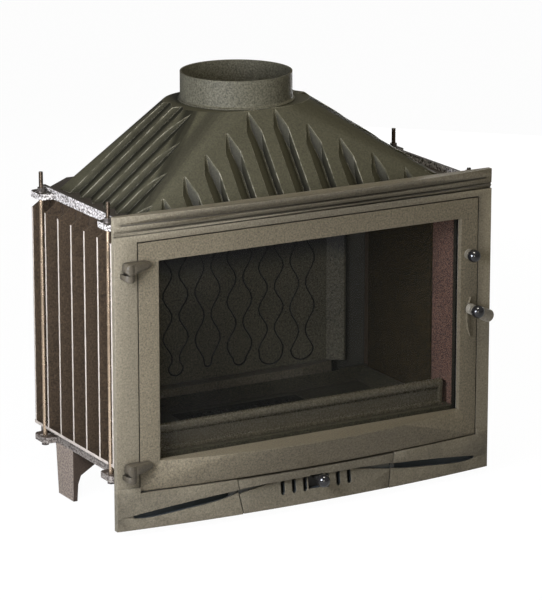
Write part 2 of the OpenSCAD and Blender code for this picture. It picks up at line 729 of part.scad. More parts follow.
// The hearth: a shallow basin with sloping sides and a seat for the grate.
module hearth() color("#46423b") set_down() difference() {
    box(-body_half + wall + 0.5, body_half - wall - 0.5, side_front + 0.5, side_back - 6, base_top,
        base_top + hearth_h);
    hull() {
        box(-body_half + wall + 44, body_half - wall - 44, bar_y + 34, side_back - 50, base_top + hearth_t,
            base_top + hearth_t + 0.1);
        box(-body_half + wall + 10, body_half - wall - 10, bar_y + 14, side_back - 12, base_top + hearth_h,
            base_top + hearth_h + 1);
    }
    box(-fireback_half - 8, fireback_half + 8, side_back - 14, side_back + 20, base_top + hearth_t,
        base_top + hearth_h + 1);
    box(-grate_w / 2 - 0.5, grate_w / 2 + 0.5, grate_y - 0.5, grate_y + grate_d + 0.5,
        base_top + hearth_t - grate_t, base_top + hearth_t + 1);
    box(-grate_w / 2 + 8, grate_w / 2 - 8, grate_y + 8, grate_y + grate_d - 8, base_top - 1, base_top + 20);
}

module ash_grate() color("#3d3a35") set_down() difference() {
    box(-grate_w / 2, grate_w / 2, grate_y, grate_y + grate_d, base_top + hearth_t - grate_t + 0.05,
        base_top + hearth_t);
    for (k = [0 : grate_n - 1]) for (r = [0, 1])
        translate([(k - (grate_n - 1) / 2) * (grate_w - 36) / grate_n, grate_y + grate_d * (0.27 + 0.46 * r),
            base_top - 5])
            linear_extrude(30) square([(grate_w - 36) / grate_n * 0.52, grate_d * 0.34], center = true);
}

// The log retainer: an upright plate with two feet and a round bar along its top.
module log_retainer() color("#55513f") set_down() {
    translate([-open_left - 8, bar_y, bar_z - bar_r]) rotate([0, 90, 0])
        cylinder(r = bar_r, h = open_left + open_right + 4, $fn = 48);
    box(-open_left - 4, open_right - 8, bar_y - 3, bar_y + 3, base_top + hearth_h + seat, bar_z - bar_r);
    box(-open_left - 4, open_right - 8, bar_y - 11, bar_y + 8, base_top + hearth_h + seat,
        base_top + hearth_h + 6);
    for (x = [-open_left - 6, open_right - 12])
        box(x, x + 6, bar_y - 9, bar_y + 9, base_top + hearth_h + seat, bar_z - 4);
}

// The sheet housing that the ash pan runs in, open at the front and under the grate.
module ash_housing() color("#4a4641") set_down() difference() {
    union() {
        box(-house_half - sheet, house_half + sheet, side_front, side_front + pan_d + 14, -sheet, base_z);
        box(-house_half - 10, house_half + 10, side_front, side_front + pan_d + 18, base_z - sheet, base_z);
    }
    box(-house_half, house_half, side_front - 1, side_front + pan_d + 14 - sheet, 0, base_z - sheet);
    box(-grate_w / 2 + 6, grate_w / 2 - 6, side_front + 20, side_front + pan_d + 2, base_z - 10, base_z + 1);
}

// The door frame: flat stiles and top rail, and a lower rail that flares forward to the sill.
module door_frame() color("#8f8778") set_down() difference() {
    union() {
        box(-door_left, door_right, 0, door_t, door_bottom, door_top);
        difference() {
            door_belly(0);
            door_belly(band_wall);
        }
        latch_pad();
    }
    box(-open_left, open_right, -1, door_t + 1, open_bottom, open_top);
    box(-open_left + 8, open_right - 8, -1, door_t + 1, door_bottom + 15, open_bottom - glass_lap - 12);
    seal_ring(4.4, door_t - 4, door_t + 1);
    translate([latch_x, door_t + 1, latch_z]) rotate([90, 0, 0])
        cylinder(r = spindle_r + 0.05, h = door_t + 8, $fn = 48);
}

// The flared lower rail. in is how far an inner copy is set back from the outside.
module door_belly(in) hull() {
    bowed(door_mid, door_half - in * 1.2, bow_low - 1 - in * 0.9, in > 0 ? 0.5 : 0.4,
        door_bottom - (in > 0 ? 1 : 0), door_bottom + 0.5, 200);
    bowed(open_mid, open_half - in * 1.2, sill_bow - in * 1.1, in > 0 ? 0.5 : 0.4,
        open_bottom - 0.5 - in * 0.8, open_bottom - in * 0.8, 200);
}

// A raised crescent on the stile, beside the latch.
module latch_pad() translate([latch_x + 73, 0.5, latch_z - 14.5]) rotate([90, 0, 0]) difference() {
    cylinder(r = 79, h = 4, $fn = 240);
    translate([81.6, 0, -1]) cylinder(r = 156.6, h = 6, $fn = 360);
}

module seal_ring(w, y0, y1) difference() {
    ring_box(-door_left + 1.5, door_right - 1.5, door_bottom + 3, door_top - 1.5, y0, y1);
    ring_box(-door_left + 1.5 + 2 * w, door_right - 1.5 - 1.6 * w, door_bottom + 3 + 2 * w,
        door_top - 1.5 - 2 * w, y0 - 1, y1 + 1);
}

module ring_box(x0, x1, z0, z1, y0, y1) box(x0, x1, y0, y1, z0, z1);

module door_seal() color("#8a867c") set_down() seal_ring(4, door_t - 4 + e, lip_y - seat);

module door_glass() color([0.2, 0.2, 0.2, 0.35]) set_down()
    box(-open_left - glass_lap, open_right + glass_lap, glass_y, glass_y + glass_t, open_bottom - glass_lap,
        open_top + glass_lap);

module glass_gasket() color("#777268") set_down() difference() {
    box(-open_left - glass_lap, open_right + glass_lap, door_t, glass_y, open_bottom - glass_lap,
        open_top + glass_lap);
    box(-open_left - 1, open_right + 1, door_t - 1, glass_y + 1, open_bottom - 1, open_top + 1);
}

clip_x = [-open_left * 0.62, open_mid, open_right * 0.66];

module at_clips() for (x = clip_x) {
    translate([x, 0, open_top + glass_lap + 1]) children();
    translate([x, 0, open_bottom - glass_lap - 1]) mirror([0, 0, 1]) children();
}

// Small cranked clips hold the glass against the frame.
module glass_clips() color("#5a554d") set_down() at_clips() difference() {
    union() {
        box(-9, 9, door_t, door_t + 2, 0, 9);
        box(-9, 9, door_t, glass_y + glass_t + 2, 0, 2);
        box(-9, 9, glass_y + glass_t, glass_y + glass_t + 2, -7, 2);
    }
    translate([0, door_t + 3, 5.5]) rotate([90, 0, 0]) cylinder(r = 2.1, h = 4, $fn = 24);
}

module clip_screws() color("#45413b") set_down() at_clips() translate([0, door_t + 2, 5.5])
    rotate([-90, 0, 0]) difference() {
        union() {
            cylinder(r = 3.3, h = 2.4, $fn = 24);
            translate([0, 0, -2]) cylinder(r = 2, h = 2.5, $fn = 24);
        }
        translate([-4, -0.5, 1.5]) cube([8, 1, 2]);
    }

// A leaf of the door hinge: a rounded barrel on the pin and a tongue that narrows to a round tip.
module hinge_leaves() color("#8f8778") set_down() for (z = [hinge_lo, hinge_hi])
    translate([-hinge_x, -hinge_y, z]) difference() {
        union() {
            intersection() {
                cylinder(r = 10, h = leaf_h, $fn = 64);
                translate([2, 12, leaf_h / 2]) rotate([90, 0, 0])
                    cylinder(r = leaf_h / 2 + 1.4, h = 24, $fn = 64);
            }
            hull() {
                translate([3, hinge_y, leaf_h / 2]) rotate([90, 0, 0])
                    cylinder(r = leaf_h / 2, h = hinge_y + 8, $fn = 32);
                translate([36.5, hinge_y, leaf_h - 7]) rotate([90, 0, 0])
                    cylinder(r = 6, h = 7, $fn = 32);
            }
        }
        translate([0, 0, -1]) cylinder(r = pin_r + pin_clear, h = 15.5, $fn = 48);
        translate([-12, hinge_y - 0.4, -1]) cube([hinge_out + door_gap + 12, 2, leaf_h + 2]);
        difference() {
            translate([-14, 0, -1]) cube([14, hinge_y, leaf_h + 2]);
            translate([0, 0, -2]) cylinder(r = 10.5, h = leaf_h + 4, $fn = 96);
        }
    }

// A round knob on a short neck. Its axis points forward.
module ball_knob(r, neck, neck_r) rotate([90, 0, 0]) {
    translate([0, 0, neck + r * 0.92]) sphere(r = r, $fn = 48);
    cylinder(r = neck_r, h = neck + r * 0.5, $fn = 32);
}

module pull_knob() color("#1c1b1a") set_down() translate([latch_x - 2, 0, pull_z]) {
    ball_knob(knob_r, 6, 5);
    rotate([90, 0, 0]) cylinder(r = 8.5, h = 2, $fn = 48);
}

// The latch: a spindle through the stile, a hub, and an arm that reaches over the facade.
module latch_handle() color("#7d766a") set_down() translate([latch_x, 0, latch_z]) rotate([90, 0, 0]) {
    translate([0, 0, -frame_y + seat]) cylinder(r = spindle_r, h = frame_y + 6, $fn = 48);
    translate([0, 0, 4]) cylinder(r = 9, h = 8.8, $fn = 64);
    difference() {
        translate([0, 0, 4]) linear_extrude(10) hull() {
            circle(r = 8, $fn = 32);
            translate([29.8, -14]) circle(r = 10.8, $fn = 32);
        }
        translate([0, 0, 3]) cylinder(r = 4, h = 1.2, $fn = 16);
    }
    translate([0, 0, 10]) cylinder(r = 4, h = 10, $fn = 32);
}

module latch_knob() color("#1c1b1a") set_down() translate([latch_x, -14.1, latch_z]) difference() {
    ball_knob(knob_r, 3, 6);
    rotate([90, 0, 0]) translate([0, 0, -1]) cylinder(r = 4.05, h = 7.2, $fn = 32);
}

module latch_cam() color("#5a554d") set_down() translate([latch_x, lip_y + 0.5, latch_z]) rotate([-90, 0, 0])
    difference() {
        linear_extrude(5) union() {
            circle(r = 6, $fn = 64);
            translate([-4, -cam_len]) square([8, cam_len]);
        }
        translate([0, 0, -1]) cylinder(r = spindle_r + 0.05, h = 7, $fn = 48);
    }

// The middle of the band as an upright slab, with a flat pad inside for the air slide.
module front_slab(rise, z0, z1) slab(z0, z1) polygon(concat(
    [for (k = [-24 : 24]) let (x = dr_x + k * dr_half / 23) [x, bow_y(x, fac_w / 2, rise)]],
    [for (p = [[dr_half + 6, -6], [96, -6], [96, -8], [-96, -8], [-96, -6], [-dr_half - 6, -6]])
        [p[0] + dr_x, p[1]]]));

// The drawer front: the middle of the bowed band, with the air slots and the knob's window.
module ash_drawer_front() color("#8f8778") set_down() {
    difference() {
        intersection() {
            drawer_outline(-dr_gap);
            front_slab(bow_low, 0.5, ap_bottom - dr_gap);
        }
        intersection() {
            under_arch(crease_z, fac_w / 2 - 5, crease_drop, -bow_low - 3, 1);
            difference() {
                box(dr_x - dr_half - 6, dr_x + dr_half + 6, -bow_low - 2, -6.5, -1, ap_bottom);
                leaning_band();
            }
        }
        for (m = [0, 1]) mirror([m, 0, 0]) inlet_tail();
        air_slots();
        box(dr_x - slot_pitch * 0.76, dr_x + slot_pitch * 0.76, -bow_low - 1, 1, 22, crease_z + 1);
    }
    translate([dr_x, 0, 0]) {
        slide_guide(slide_low - seat, -1);
        slide_guide(slide_high + seat, 1);
    }
}

// The inlet's floor runs out on the drawer front in a shallow point.
module inlet_tail() intersection() {
    rotate([90, 0, 0]) linear_extrude(bow_low + 3)
        polygon([[-dr_half - 8, crease(dr_half) + 1], [-70, crease(70) + 1], [-70, crease(70) - 0.5],
            [-dr_half - 8, crease(dr_half) - inlet_h * 0.9]]);
    difference() {
        box(-dr_half - 9, -69, -bow_low - 3, -6.5, 0, crease_z);
        bowed(0, fac_w / 2 + 4, bow_low - band_lean, 2, -1, ap_bottom + 1);
    }
}

// A rail with a lip, in which an edge of the air slide runs.
module slide_guide(z, up) {
    w = slide_half - 14;
    box(-w, w, -8.05, -2, min(z, z + up * 3), max(z, z + up * 3));
    box(-w, w, -5 + 2 * seat, -2, min(z - up * 4, z + up), max(z - up * 4, z + up));
}

module air_slots() for (k = [1 : slot_n]) for (s = [-1, 1])
    translate([dr_x + s * k * slot_pitch * 1.02, 0, 0]) air_slot();

module air_slot() rotate([90, 0, 0]) translate([0, 0, -20]) linear_extrude(60)
    hull() {
        translate([0, crease_z - 6]) circle(r = slot_w / 2, $fn = 24);
        translate([0, 24]) circle(r = slot_w / 2, $fn = 24);
    }

module ash_pan() color("#57524b") set_down() {
    difference() {
        box(-pan_half, pan_half, 2, pan_d, pan_z, pan_z + pan_h);
        box(-pan_half + sheet, pan_half - sheet, 2 + sheet, pan_d - sheet, pan_z + sheet, pan_z + pan_h + 1);
    }
    for (s = [-1, 1]) translate([dr_x + s * (pan_half - 17), 0, 0]) box(-6, 6, -6, 2, pan_z + 4, pan_z + 40);
}

// The air slide lies behind the drawer front and covers or clears its slots.
module air_slide() color("#4a4641") set_down() difference() {
    translate([dr_x, 0, 0]) {
        box(-slide_half, slide_half, -8 + seat, -5 + seat, slide_low, slide_high);
        rotate([90, 0, 0]) translate([0, air_z, 6]) cylinder(r = 4, h = air_out - air_r - 6 + 4, $fn = 32);
    }
    air_slots();
}

module air_knob() color("#1c1b1a") set_down() translate([dr_x, -air_out, air_z]) rotate([90, 0, 0]) difference() {
    sphere(r = air_r, $fn = 48);
    translate([0, 0, -air_r - 1]) cylinder(r = 4.05, h = 5.5, $fn = 32);
}

base_casting();
leg_left();
leg_right();
leg_front_left();
leg_front_right();
side_left();
side_right();
back_wall();
front_frame();
top_plate();
hood();
flue_collar();
tie_rods();
tie_rod_nuts();
tie_rod_washers();
facade();
facade_bolts();
hinge_brackets();
fireback();
fireback_foot();
lining_left();
lining_right();
baffle();
hearth();
ash_grate();
log_retainer();
ash_housing();
door_frame();
door_glass();
glass_gasket();
glass_clips();
clip_screws();
door_seal();
hinge_leaves();
pull_knob();
latch_handle();
latch_knob();
latch_cam();
ash_drawer_front();
ash_pan();
air_slide();
air_knob();
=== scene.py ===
import bmesh
import bpy
import math
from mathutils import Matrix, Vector


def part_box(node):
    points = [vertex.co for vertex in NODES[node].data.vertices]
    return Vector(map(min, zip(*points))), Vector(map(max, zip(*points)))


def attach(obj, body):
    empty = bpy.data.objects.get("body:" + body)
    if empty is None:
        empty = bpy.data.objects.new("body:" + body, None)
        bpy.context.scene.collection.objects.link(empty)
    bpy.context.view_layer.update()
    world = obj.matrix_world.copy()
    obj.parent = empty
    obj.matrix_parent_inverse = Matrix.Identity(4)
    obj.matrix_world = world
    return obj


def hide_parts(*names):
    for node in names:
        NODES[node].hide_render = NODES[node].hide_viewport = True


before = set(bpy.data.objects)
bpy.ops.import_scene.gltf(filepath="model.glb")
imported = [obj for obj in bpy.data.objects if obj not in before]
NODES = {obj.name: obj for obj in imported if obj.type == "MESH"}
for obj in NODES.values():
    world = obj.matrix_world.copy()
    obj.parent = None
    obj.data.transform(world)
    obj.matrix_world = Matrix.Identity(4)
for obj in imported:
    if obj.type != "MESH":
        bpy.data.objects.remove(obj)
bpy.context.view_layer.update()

# Places that the finishes follow, in metres, taken from the frame where it has them.
FACADE_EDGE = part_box("facade")[1].x
FACADE_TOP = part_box("facade")[1].z
FACE_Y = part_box("pull_knob")[1].y
FIN_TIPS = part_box("side_right")[1].x
FIREBACK_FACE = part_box("fireback")[1].y - 0.010
BAFFLE_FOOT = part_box("baffle")[0].z
LINING_STRIP_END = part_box("lining_left")[0].y + 0.064
PULL_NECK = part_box("pull_knob")[1].y - 0.0065
LATCH_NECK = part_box("latch_knob")[1].y - 0.0025
ROD_BLACK_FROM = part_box("top_plate")[0].z - 0.003
# The top of the facade's bowed lower band, how far the band stands out at floor height, and how much less it
# does so for each metre up.
BAND_TOP = 0.0755
BOW_AT_FLOOR = 0.0241
BOW_PER_METRE = 0.157
# The two grooves of the facade's moulding: how far below its top each begins and ends.
MOULDING_GROOVES = ((0.0268, 0.0237), (0.0158, 0.0127))
# The walls of the base's and the top plate's rims stand further out than this.
RIM_WALL = (0.300, 0.304)
# The planes of the hood's skin at its front and its sides: share of y or x, share of z, distance from 0.
HOOD_FRONT = (0.7837, 0.6211, 0.4188)
HOOD_SIDE = (0.618, 0.786, 0.5794)


class Wire:
    """One output of a material's nodes. Sums on it add Math nodes."""

    def __init__(self, tree, socket=None):
        self.tree = tree
        self.socket = socket

    def node(self, kind, settings=None, inputs=None, output=0):
        made = self.tree.nodes.new(kind)
        for name, value in (settings or {}).items():
            setattr(made, name, value)
        for name, value in (inputs or {}).items():
            if isinstance(value, Wire):
                self.tree.links.new(value.socket, made.inputs[name])
            else:
                made.inputs[name].default_value = value
        return Wire(self.tree, made.outputs[output])

    def math(self, operation, *values, clamp=False):
        settings = {"operation": operation, "use_clamp": clamp}
        return self.node("ShaderNodeMath", settings, dict(enumerate(values)))

    def __add__(self, other):
        return self.math("ADD", self, other)

    def __sub__(self, other):
        return self.math("SUBTRACT", self, other)

    def __rsub__(self, other):
        return self.math("SUBTRACT", other, self)

    def __mul__(self, other):
        return self.math("MULTIPLY", self, other)

    def __abs__(self):
        return self.math("ABSOLUTE", self)

    __radd__ = __add__
    __rmul__ = __mul__

    def above(self, low, high):
        """0 below low, 1 past high, smooth between."""
        return self.node("ShaderNodeMapRange", {"interpolation_type": "SMOOTHSTEP"},
                         {"Value": self, "From Min": low, "From Max": high})

    def below(self, low, high):
        """1 below low, 0 past high, smooth between."""
        return 1 - self.above(low, high)

    def within(self, low, high, soft):
        """1 between low and high, with soft ends."""
        return self.above(low - soft, low + soft) * self.below(high - soft, high + soft)

    def mix(self, first, second):
        """Colours first and second, mixed by this mask."""
        return self.node("ShaderNodeMix", {"data_type": "RGBA"}, {0: self, 6: first, 7: second}, 2)

    def times(self, colour):
        """A colour made lighter or darker by this factor."""
        shade = colour if isinstance(colour, Wire) else tuple(colour)[:3]
        return self.node("ShaderNodeVectorMath", {"operation": "SCALE"}, {0: shade, 3: self})

    def split(self):
        """The X, Y and Z of this vector."""
        apart = self.node("ShaderNodeSeparateXYZ", {}, {0: self}).socket.node
        return [Wire(self.tree, apart.outputs[axis]) for axis in "XYZ"]

    def feed(self, shader, socket):
        self.tree.links.new(self.socket, shader.inputs[socket])


def tint(red, green, blue):
    return (red, green, blue, 1)


def grey(value):
    return tint(value, value, value)


def start_finish(name):
    """A new material, its shader, and the place on the insert, in metres from the middle of its foot."""
    paint = bpy.data.materials.new(name)
    paint.use_nodes = True
    shader = paint.node_tree.nodes["Principled BSDF"]
    return paint, shader, Wire(paint.node_tree).node("ShaderNodeTexCoord", output="Object")


def noise(where, scale, detail=2.0, rough=0.5, warp=0.0):
    """Noise with its scale in waves for each metre."""
    return where.node("ShaderNodeTexNoise", {}, {"Vector": where, "Scale": scale, "Detail": detail,
                                                 "Roughness": rough, "Distortion": warp})


def facing(where):
    """How far the face here looks along X, Y and Z."""
    return where.node("ShaderNodeNewGeometry", output="True Normal").split()


def rounded_edges(where, radius):
    """The normal that each edge would have if it were rounded."""
    return where.node("ShaderNodeBevel", {"samples": 4}, {"Radius": radius})


def feed_bump(height, shader, strength, depth, normal=None):
    inputs = {"Strength": strength, "Distance": depth, "Height": height}
    if normal:
        inputs["Normal"] = normal
    height.node("ShaderNodeBump", {}, inputs).feed(shader, "Normal")


def cast_finish(name, base, rough=0.6, specular=0.3, speckle=0.17, mottle=0.1, edge=0.35, edge_tint=None,
                soft_edge=0.0012, reach=0.007, corner_shade=0.75, shut=(0.22, 0.85), extra=None):
    """Cast iron as it leaves the sand: pits and faint clouding, with painted shade in its corners, and edges
    painted lighter, as wear and as a painted highlight.

    edge is how much lighter the edges are, and reach how near a wall has to be for painted shade. shut is
    how closed in a spot is where the painted shade starts, and where it is full. extra changes the colour
    further.
    """
    paint, shader, where = start_finish(name)
    fine = noise(where, 900, rough=0.6)
    pits = noise(where, 330, detail=3.0, rough=0.65)
    cloud = noise(where, 17, detail=3.0, rough=0.55, warp=0.4)
    wide = noise(where, 4.2)
    lightness = 1 + (fine - 0.5) * speckle * 3 + (pits - 0.5) * speckle * 8
    lightness = lightness + (cloud - 0.5) * mottle * 2 + (wide - 0.5) * mottle * 2
    colour = lightness.times(tint(*base))
    rounded = rounded_edges(where, soft_edge)
    flat = where.node("ShaderNodeNewGeometry", output="Normal")
    alike = where.node("ShaderNodeVectorMath", {"operation": "DOT_PRODUCT"}, {0: rounded, 1: flat},
                      output="Value")
    # Wear and painted highlight: edges painted lighter where the rounded normal turns away from the flat
    # one.
    rubbed_and_highlit = (1 - alike).above(0.015, 0.2) * noise(where, 60).above(0.32, 0.6)
    worn_and_highlit = edge_tint or tint(*[min(1, c * 1.9 + 0.03) for c in base])
    colour = (rubbed_and_highlit * edge).mix(colour, worn_and_highlit)
    # Painted shade: darker where nearby walls close in, found by ambient occlusion.
    open_air = where.node("ShaderNodeAmbientOcclusion", {"samples": 5}, {"Distance": reach}, output="AO")
    corner_shade_mask = (1 - open_air).above(*shut)
    colour = (corner_shade_mask * corner_shade).mix(colour, tint(*[c * 0.12 for c in base]))
    if extra:
        colour = extra(where, colour)
    colour.feed(shader, "Base Color")
    height = fine * 0.5 + pits * 1.1 + noise(where, 95) * 1.5
    feed_bump(height, shader, strength=0.55, depth=0.00088, normal=rounded)
    (rough + (pits - 0.5) * 0.18).feed(shader, "Roughness")
    shader.inputs["Specular IOR Level"].default_value = specular
    return paint


def highlit_fin_rims(where, colour):
    """The outer rims of the side wall's fins, painted pale and scuffed: a painted highlight."""
    side = where.split()[0]
    rim = abs(side).above(FIN_TIPS - 0.020, FIN_TIPS - 0.019) * abs(facing(where)[0]).above(0.75, 0.9)
    scuff = noise(where, 130, detail=3.0).above(0.25, 0.55)
    # Painted highlight on the rims that face sideways.
    return (rim * (scuff * 0.35 + 0.65)).mix(colour, tint(0.5, 0.44, 0.37))


def shaded_depths(where, colour):
    """Painted shade: dark blue-grey inside the band's air inlets and slots, near black in the moulding's
    grooves, and 17 per cent darker below the band's top.
    """
    side, back, high = where.split()
    bow = (BOW_AT_FLOOR - high * BOW_PER_METRE) * (1 - side * side * FACADE_EDGE ** -2)
    deep = (back + (bow - FACE_Y)).above(0.0022, 0.0045) * high.below(BAND_TOP, BAND_TOP + 0.001)
    deep = deep * abs(side).below(FACADE_EDGE - 0.012, FACADE_EDGE - 0.008)
    # Painted shade inside the inlets and slots.
    colour = deep.mix(colour, tint(0.064, 0.074, 0.08))
    first, second = [high.within(FACADE_TOP - low, FACADE_TOP - top, soft=0.0003)
                     for low, top in MOULDING_GROOVES]
    grooves = (first + second) * abs(side).below(FACADE_EDGE - 0.013, FACADE_EDGE - 0.007)
    grooves = grooves * back.below(FACE_Y + 0.001, FACE_Y + 0.003)
    # Painted shade in the moulding's grooves.
    colour = (grooves * 0.85).mix(colour, tint(0.03, 0.026, 0.019))
    # Painted shade: below the band's top the colour is 17 per cent darker.
    return (0.83 + high.above(BAND_TOP, BAND_TOP + 0.0035) * 0.17).times(colour)


def scored_waves(where, colour):
    """Painted shade: near black in the fireback's wavy grooves, and blue-black towards and under the baffle.
    """
    _, back, high = where.split()
    # Painted shade under the baffle.
    baffle_shade = high.above(BAFFLE_FOOT - 0.153, BAFFLE_FOOT - 0.103)
    colour = (baffle_shade * 0.8).mix(colour, tint(0.007, 0.009, 0.014))
    # Painted shade in the wavy grooves.
    inside = back - FIREBACK_FACE
    groove = inside.above(0.0002, 0.0006) * inside.below(0.0040, 0.0046)
    return groove.mix(colour, tint(0.004, 0.0035, 0.002))


def highlit_rim(share, bright):
    """A rim's outer wall, painted bright and mottled as a painted highlight. Its upper side stays as cast.
    """
    def finish(where, colour):
        side = where.split()[0]
        wall = abs(side).above(*RIM_WALL) * abs(facing(where)[2]).below(0.4, 0.7)
        spots = noise(where, 300, detail=3.0, rough=0.75).above(0.43, 0.57)
        # Painted highlight on the rim's outer wall.
        return (wall * share).mix(colour, spots.mix(bright, tint(0.07, 0.058, 0.05)))
    return finish


def cast_outside(where, colour):
    """The back wall's outer face, which has no soot on it."""
    outside = facing(where)[1].above(0.02, 0.1)
    return (1 + outside * 1.9).times(colour)


def lit_flanks(where, colour):
    """The legs' outer and inner sides, painted paler than their front edges and mottled: painted light."""
    spots = noise(where, 330, detail=3.0, rough=0.7).above(0.4, 0.62)
    flank = abs(facing(where)[0]).above(0.75, 0.95)
    # Painted light on the faces that look along x.
    return flank.mix(colour, spots.mix(tint(0.31, 0.25, 0.195), tint(0.13, 0.105, 0.085)))


def shaded_flutes(where, colour):
    """Painted shade in the flutes: on the front's walls that look left, and at the bottom of the sides'
    flutes.
    """
    side, back, high = where.split()
    looks = facing(where)[0]
    by_depth, by_height, skin = HOOD_FRONT
    deep = skin + back * by_depth - high * by_height
    # Painted shade on the front's walls that look left.
    flute_shade = (0 - looks).above(0.2, 0.32) * deep.above(0.0005, 0.003) * deep.below(0.015, 0.022)
    colour = (flute_shade * 0.5).mix(colour, tint(0.012, 0.011, 0.008))
    by_width, by_height, skin = HOOD_SIDE
    sunk = skin - abs(side) * by_width - high * by_height
    # Painted shade at the bottom of the sides' flutes.
    valley_shade = sunk.above(0.0025, 0.0065) * sunk.below(0.0115, 0.014) * abs(looks).above(0.3, 0.45)
    return (valley_shade * 0.9).mix(colour, tint(0.01, 0.0095, 0.006))


def steel_finish(name, base, rough=0.35, metal=0.85, dark_from=None):
    """Drawn or turned steel with dull spots. Above dark_from it is blackened."""
    paint, shader, where = start_finish(name)
    fine = noise(where, 700)
    cloud = noise(where, 45, detail=3.0, rough=0.6)
    colour = (1 + (fine - 0.5) * 0.2 + (cloud - 0.5) * 0.5).times(tint(*base))
    dull = cloud.above(0.5, 0.75)
    colour = (dull * 0.4).mix(colour, tint(*[c * 0.5 for c in base]))
    if dark_from:
        high = where.split()[2]
        colour = (high.above(dark_from, dark_from + 0.001) * 0.85).mix(colour, tint(0.03, 0.022, 0.017))
    colour.feed(shader, "Base Color")
    (rough + (cloud - 0.5) * 0.3).feed(shader, "Roughness")
    feed_bump(fine, shader, strength=0.3, depth=0.0002, normal=rounded_edges(where, 0.0006))
    shader.inputs["Metallic"].default_value = metal
    return paint


def lining_finish(name):
    """Dark lining plates with a coarse speckled grain. The strip at their front is redder, and painted
    lighter than the plates as painted light near the opening.
    """
    paint, shader, where = start_finish(name)
    cells = where.node("ShaderNodeTexVoronoi", {}, {"Vector": where, "Scale": 460, "Randomness": 1.0})
    cloud = noise(where, 14, detail=3.0, rough=0.6)
    fine = noise(where, 420, detail=3.0, rough=0.7)
    pit = (cells + (fine - 0.5) * 0.9).above(0.2, 0.62)
    strip = where.split()[1].below(LINING_STRIP_END - 0.002, LINING_STRIP_END)
    # The plates are painted darker than the strip: painted shade deeper in.
    plate_colour = pit.mix(tint(0.052, 0.035, 0.011), tint(0.009, 0.007, 0.003))
    strip_colour = pit.mix(tint(0.23, 0.123, 0.084), tint(0.055, 0.034, 0.026))
    lightness = 1 + (cloud - 0.5) * 0.6 + (fine - 0.5) * 2.2
    lightness.times(strip.mix(plate_colour, strip_colour)).feed(shader, "Base Color")
    feed_bump(1 - pit + fine * 0.4, shader, strength=0.5, depth=0.0008)
    (0.75 + (fine - 0.5) * 0.3).feed(shader, "Roughness")
    shader.inputs["Specular IOR Level"].default_value = 0.15
    return paint


def knob_finish(name, neck=None):
    """Glossy black enamel with a hair of orange peel. Behind neck the knob's foot has the door's paint."""
    paint, shader, where = start_finish(name)
    peel = noise(where, 260)
    cloud = noise(where, 40)
    colour = cloud.mix(tint(0.008, 0.008, 0.009), tint(0.017, 0.016, 0.016))
    gloss = 0.16 + (peel - 0.5) * 0.08
    coat = 0.6
    if neck:
        foot = where.split()[1].above(neck - 0.0003, neck + 0.0003)
        colour = foot.mix(colour, tint(0.2, 0.18, 0.14))
        gloss = gloss + foot * 0.4
        (coat - foot * coat).feed(shader, "Coat Weight")
    else:
        shader.inputs["Coat Weight"].default_value = coat
    colour.feed(shader, "Base Color")
    gloss.feed(shader, "Roughness")
    feed_bump(peel, shader, strength=0.12, depth=0.0002)
    shader.inputs["Coat Roughness"].default_value = 0.06
    return paint


def glass_finish(name):
    """Clear heat-proof glass with patches of faint haze."""
    paint, shader, where = start_finish(name)
    haze = noise(where, 9, detail=3.0).above(0.45, 0.8)
    haze.mix(tint(0.03, 0.032, 0.03), tint(0.05, 0.048, 0.042)).feed(shader, "Base Color")
    (0.07 + haze * 0.03).feed(shader, "Alpha")
    (0.03 + haze * 0.05).feed(shader, "Roughness")
    return paint


def rope_finish(name):
    """Glass-fibre rope: small slanted strands."""
    paint, shader, where = start_finish(name)
    strands = where.node("ShaderNodeTexWave", {"bands_direction": "DIAGONAL"},
                        {"Vector": where, "Scale": 130, "Distortion": 2.0, "Detail": 2.0}, output="Fac")
    cloud = noise(where, 60)
    colour = strands.mix(tint(0.2, 0.19, 0.17), tint(0.36, 0.34, 0.3))
    (1 + (cloud - 0.5) * 0.5).times(colour).feed(shader, "Base Color")
    feed_bump(strands, shader, strength=0.6, depth=0.0008)
    shader.inputs["Roughness"].default_value = 0.9
    return paint


FACADE = cast_finish("facade_paint", (0.168, 0.146, 0.102), rough=0.48, speckle=0.21, mottle=0.07,
                     extra=shaded_depths)
# The door has the facade's paint, painted about a fifth darker: painted shade.
DOOR = cast_finish("door_paint", (0.138, 0.117, 0.078), rough=0.48, speckle=0.27, mottle=0.07)
HINGE = cast_finish("hinge_paint", (0.07, 0.059, 0.041), rough=0.42, mottle=0.07, edge=0.5, reach=0.012,
                    corner_shade=0.9, shut=(0.12, 0.6))
HOOD = cast_finish("hood_iron", (0.061, 0.057, 0.036), rough=0.55, specular=0.12, edge=0.9,
                   edge_tint=tint(0.48, 0.45, 0.35), soft_edge=0.0026, reach=0.022, corner_shade=0.97,
                   shut=(0.2, 0.6), extra=shaded_flutes)
COLLAR = cast_finish("collar_iron", (0.093, 0.087, 0.061), rough=0.55, specular=0.15, speckle=0.34, edge=0.4,
                     corner_shade=0.3)
SIDE = cast_finish("side_iron", (0.047, 0.0315, 0.018), rough=0.62, speckle=0.38, edge=0.2,
                   extra=highlit_fin_rims)
BASE = cast_finish("base_iron", (0.062, 0.046, 0.034), rough=0.58, edge=0.5,
                   extra=highlit_rim(0.6, tint(0.42, 0.38, 0.33)))
LEG = cast_finish("leg_iron", (0.046, 0.032, 0.022), rough=0.58, edge=0.4, extra=lit_flanks)
RIM = cast_finish("rim_iron", (0.05, 0.042, 0.033), rough=0.58, edge=0.5,
                  extra=highlit_rim(0.9, tint(0.72, 0.68, 0.63)))
LEVER = cast_finish("lever_paint", (0.23, 0.21, 0.17), rough=0.36, specular=0.5, edge=0.6)
